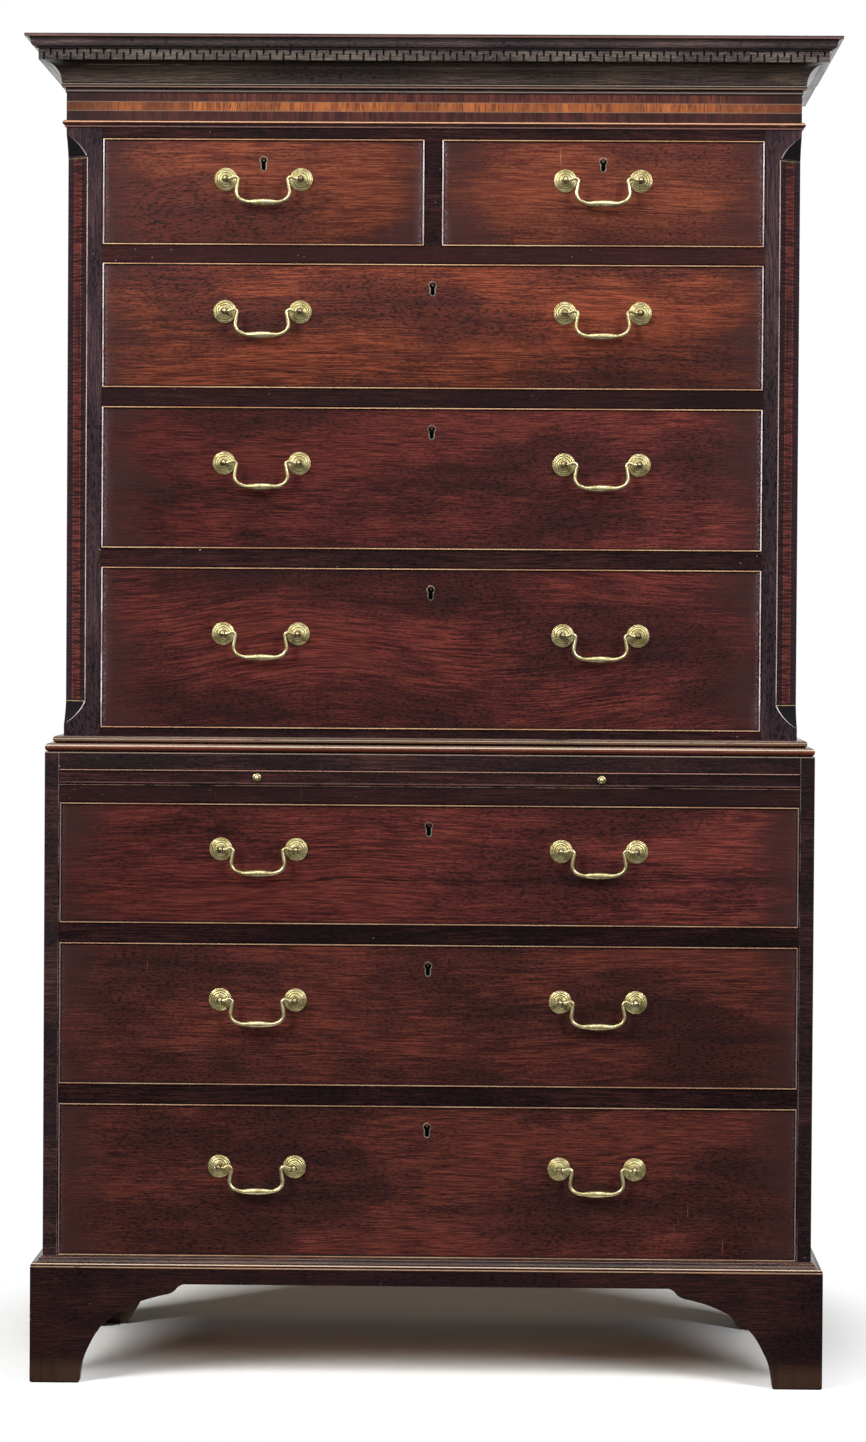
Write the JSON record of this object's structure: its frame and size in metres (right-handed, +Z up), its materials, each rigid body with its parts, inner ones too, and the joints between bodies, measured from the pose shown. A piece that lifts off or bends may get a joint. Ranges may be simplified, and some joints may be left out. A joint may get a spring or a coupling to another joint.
{
  "type": "chest on chest",
  "caption": "A mahogany chest on chest in two cases with bail-handled drawers, a brushing slide, canted upper corners, a fretted cornice and bracket feet.",
  "frame": {"origin": "centre of the footprint on the floor: the middle of the whole in X and in Y, with handles and cornice, at the underside of the feet", "axes": "+X to the right seen from the front, the drawers open towards -Y, +Z up"},
  "size_m": [1.132, 0.59, 1.88],
  "materials": {
    "mahogany_front": "polished figured mahogany veneer, reddish brown, aged wax finish",
    "mahogany_case": "polished dark mahogany, aged wax finish",
    "mahogany_rail": "dark mahogany edges, oiled",
    "mahogany_moulding": "polished dark mahogany moulding with worn edges",
    "satinwood": "polished satinwood and mahogany crossbanding",
    "oak": "dry planed oak",
    "pine": "sawn and aged pine",
    "brass": "cast brass, lacquered and aged",
    "lock_steel": "filed iron"
  },
  "bodies": {
    "lower_case": {"lower_case_carcase": "mahogany_case", "lower_case_back": "pine", "lower_case_rails": "mahogany_rail", "waist_moulding": "mahogany_moulding", "base_moulding": "mahogany_moulding", "bracket_feet": "mahogany_case"},
    "upper_case": {"upper_case_carcase": "mahogany_case", "upper_case_back": "pine", "upper_case_rails": "mahogany_rail", "canted_corners": "mahogany_case", "frieze": "satinwood", "cornice": "mahogany_moulding"},
    "brushing_slide": {"brushing_slide": "mahogany_front", "slide_knobs": "brass"},
    "short_drawer_left": {"short_drawer_left_front": "mahogany_front", "short_drawer_left_box": "oak", "short_drawer_left_brasses": "brass"},
    "short_drawer_left_lock_bolt": {"short_drawer_left_lock_bolt": "lock_steel"},
    "short_drawer_left_bail": {"short_drawer_left_bail": "brass"},
    "short_drawer_right": {"short_drawer_right_front": "mahogany_front", "short_drawer_right_box": "oak", "short_drawer_right_brasses": "brass"},
    "short_drawer_right_lock_bolt": {"short_drawer_right_lock_bolt": "lock_steel"},
    "short_drawer_right_bail": {"short_drawer_right_bail": "brass"},
    "upper_drawer_1": {"upper_drawer_1_front": "mahogany_front", "upper_drawer_1_box": "oak", "upper_drawer_1_brasses": "brass"},
    "upper_drawer_1_lock_bolt": {"upper_drawer_1_lock_bolt": "lock_steel"},
    "upper_drawer_1_bail_left": {"upper_drawer_1_bail_left": "brass"},
    "upper_drawer_1_bail_right": {"upper_drawer_1_bail_right": "brass"},
    "upper_drawer_2": {"upper_drawer_2_front": "mahogany_front", "upper_drawer_2_box": "oak", "upper_drawer_2_brasses": "brass"},
    "upper_drawer_2_lock_bolt": {"upper_drawer_2_lock_bolt": "lock_steel"},
    "upper_drawer_2_bail_left": {"upper_drawer_2_bail_left": "brass"},
    "upper_drawer_2_bail_right": {"upper_drawer_2_bail_right": "brass"},
    "upper_drawer_3": {"upper_drawer_3_front": "mahogany_front", "upper_drawer_3_box": "oak", "upper_drawer_3_brasses": "brass"},
    "upper_drawer_3_lock_bolt": {"upper_drawer_3_lock_bolt": "lock_steel"},
    "upper_drawer_3_bail_left": {"upper_drawer_3_bail_left": "brass"},
    "upper_drawer_3_bail_right": {"upper_drawer_3_bail_right": "brass"},
    "lower_drawer_1": {"lower_drawer_1_front": "mahogany_front", "lower_drawer_1_box": "oak", "lower_drawer_1_brasses": "brass"},
    "lower_drawer_1_lock_bolt": {"lower_drawer_1_lock_bolt": "lock_steel"},
    "lower_drawer_1_bail_left": {"lower_drawer_1_bail_left": "brass"},
    "lower_drawer_1_bail_right": {"lower_drawer_1_bail_right": "brass"},
    "lower_drawer_2": {"lower_drawer_2_front": "mahogany_front", "lower_drawer_2_box": "oak", "lower_drawer_2_brasses": "brass"},
    "lower_drawer_2_lock_bolt": {"lower_drawer_2_lock_bolt": "lock_steel"},
    "lower_drawer_2_bail_left": {"lower_drawer_2_bail_left": "brass"},
    "lower_drawer_2_bail_right": {"lower_drawer_2_bail_right": "brass"},
    "lower_drawer_3": {"lower_drawer_3_front": "mahogany_front", "lower_drawer_3_box": "oak", "lower_drawer_3_brasses": "brass"},
    "lower_drawer_3_lock_bolt": {"lower_drawer_3_lock_bolt": "lock_steel"},
    "lower_drawer_3_bail_left": {"lower_drawer_3_bail_left": "brass"},
    "lower_drawer_3_bail_right": {"lower_drawer_3_bail_right": "brass"}
  },
  "joints": [
    {"name": "upper_case_lift", "type": "slide", "parent": "lower_case", "child": "upper_case", "axis": [0, 0, 1], "range_m": [0, 0.05]},
    {"name": "brushing_slide_pull", "type": "slide", "parent": "lower_case", "child": "brushing_slide", "axis": [0, -1, 0], "range_m": [0, 0.3]},
    {"name": "short_drawer_left_pull", "type": "slide", "parent": "upper_case", "child": "short_drawer_left", "axis": [0, -1, 0], "range_m": [0, 0.38]},
    {"name": "short_drawer_left_lock_bolt_throw", "type": "slide", "parent": "short_drawer_left", "child": "short_drawer_left_lock_bolt", "axis": [0, 0, 1], "range_m": [0, 0.009]},
    {"name": "short_drawer_left_bail_swing", "type": "hinge", "parent": "short_drawer_left", "child": "short_drawer_left_bail", "pos_m": [-0.2365, -0.259, 1.679], "axis": [-1, 0, 0], "range_deg": [-20, 95]},
    {"name": "short_drawer_right_pull", "type": "slide", "parent": "upper_case", "child": "short_drawer_right", "axis": [0, -1, 0], "range_m": [0, 0.38]},
    {"name": "short_drawer_right_lock_bolt_throw", "type": "slide", "parent": "short_drawer_right", "child": "short_drawer_right_lock_bolt", "axis": [0, 0, 1], "range_m": [0, 0.009]},
    {"name": "short_drawer_right_bail_swing", "type": "hinge", "parent": "short_drawer_right", "child": "short_drawer_right_bail", "pos_m": [0.2365, -0.259, 1.679], "axis": [-1, 0, 0], "range_deg": [-20, 95]},
    {"name": "upper_drawer_1_pull", "type": "slide", "parent": "upper_case", "child": "upper_drawer_1", "axis": [0, -1, 0], "range_m": [0, 0.38]},
    {"name": "upper_drawer_1_lock_bolt_throw", "type": "slide", "parent": "upper_drawer_1", "child": "upper_drawer_1_lock_bolt", "axis": [0, 0, 1], "range_m": [0, 0.009]},
    {"name": "upper_drawer_1_bail_left_swing", "type": "hinge", "parent": "upper_drawer_1", "child": "upper_drawer_1_bail_left", "pos_m": [-0.237, -0.259, 1.495], "axis": [-1, 0, 0], "range_deg": [-20, 95]},
    {"name": "upper_drawer_1_bail_right_swing", "type": "hinge", "parent": "upper_drawer_1", "child": "upper_drawer_1_bail_right", "pos_m": [0.237, -0.259, 1.495], "axis": [-1, 0, 0], "range_deg": [-20, 95]},
    {"name": "upper_drawer_2_pull", "type": "slide", "parent": "upper_case", "child": "upper_drawer_2", "axis": [0, -1, 0], "range_m": [0, 0.38]},
    {"name": "upper_drawer_2_lock_bolt_throw", "type": "slide", "parent": "upper_drawer_2", "child": "upper_drawer_2_lock_bolt", "axis": [0, 0, 1], "range_m": [0, 0.009]},
    {"name": "upper_drawer_2_bail_left_swing", "type": "hinge", "parent": "upper_drawer_2", "child": "upper_drawer_2_bail_left", "pos_m": [-0.237, -0.259, 1.284], "axis": [-1, 0, 0], "range_deg": [-20, 95]},
    {"name": "upper_drawer_2_bail_right_swing", "type": "hinge", "parent": "upper_drawer_2", "child": "upper_drawer_2_bail_right", "pos_m": [0.237, -0.259, 1.284], "axis": [-1, 0, 0], "range_deg": [-20, 95]},
    {"name": "upper_drawer_3_pull", "type": "slide", "parent": "upper_case", "child": "upper_drawer_3", "axis": [0, -1, 0], "range_m": [0, 0.38]},
    {"name": "upper_drawer_3_lock_bolt_throw", "type": "slide", "parent": "upper_drawer_3", "child": "upper_drawer_3_lock_bolt", "axis": [0, 0, 1], "range_m": [0, 0.009]},
    {"name": "upper_drawer_3_bail_left_swing", "type": "hinge", "parent": "upper_drawer_3", "child": "upper_drawer_3_bail_left", "pos_m": [-0.237, -0.259, 1.046], "axis": [-1, 0, 0], "range_deg": [-20, 95]},
    {"name": "upper_drawer_3_bail_right_swing", "type": "hinge", "parent": "upper_drawer_3", "child": "upper_drawer_3_bail_right", "pos_m": [0.237, -0.259, 1.046], "axis": [-1, 0, 0], "range_deg": [-20, 95]},
    {"name": "lower_drawer_1_pull", "type": "slide", "parent": "lower_case", "child": "lower_drawer_1", "axis": [0, -1, 0], "range_m": [0, 0.4]},
    {"name": "lower_drawer_1_lock_bolt_throw", "type": "slide", "parent": "lower_drawer_1", "child": "lower_drawer_1_lock_bolt", "axis": [0, 0, 1], "range_m": [0, 0.009]},
    {"name": "lower_drawer_1_bail_left_swing", "type": "hinge", "parent": "lower_drawer_1", "child": "lower_drawer_1_bail_left", "pos_m": [-0.237, -0.283, 0.746], "axis": [-1, 0, 0], "range_deg": [-20, 95]},
    {"name": "lower_drawer_1_bail_right_swing", "type": "hinge", "parent": "lower_drawer_1", "child": "lower_drawer_1_bail_right", "pos_m": [0.237, -0.283, 0.746], "axis": [-1, 0, 0], "range_deg": [-20, 95]},
    {"name": "lower_drawer_2_pull", "type": "slide", "parent": "lower_case", "child": "lower_drawer_2", "axis": [0, -1, 0], "range_m": [0, 0.4]},
    {"name": "lower_drawer_2_lock_bolt_throw", "type": "slide", "parent": "lower_drawer_2", "child": "lower_drawer_2_lock_bolt", "axis": [0, 0, 1], "range_m": [0, 0.009]},
    {"name": "lower_drawer_2_bail_left_swing", "type": "hinge", "parent": "lower_drawer_2", "child": "lower_drawer_2_bail_left", "pos_m": [-0.237, -0.283, 0.536], "axis": [-1, 0, 0], "range_deg": [-20, 95]},
    {"name": "lower_drawer_2_bail_right_swing", "type": "hinge", "parent": "lower_drawer_2", "child": "lower_drawer_2_bail_right", "pos_m": [0.237, -0.283, 0.536], "axis": [-1, 0, 0], "range_deg": [-20, 95]},
    {"name": "lower_drawer_3_pull", "type": "slide", "parent": "lower_case", "child": "lower_drawer_3", "axis": [0, -1, 0], "range_m": [0, 0.4]},
    {"name": "lower_drawer_3_lock_bolt_throw", "type": "slide", "parent": "lower_drawer_3", "child": "lower_drawer_3_lock_bolt", "axis": [0, 0, 1], "range_m": [0, 0.009]},
    {"name": "lower_drawer_3_bail_left_swing", "type": "hinge", "parent": "lower_drawer_3", "child": "lower_drawer_3_bail_left", "pos_m": [-0.237, -0.283, 0.303], "axis": [-1, 0, 0], "range_deg": [-20, 95]},
    {"name": "lower_drawer_3_bail_right_swing", "type": "hinge", "parent": "lower_drawer_3", "child": "lower_drawer_3_bail_right", "pos_m": [0.237, -0.283, 0.303], "axis": [-1, 0, 0], "range_deg": [-20, 95]}
  ]
}
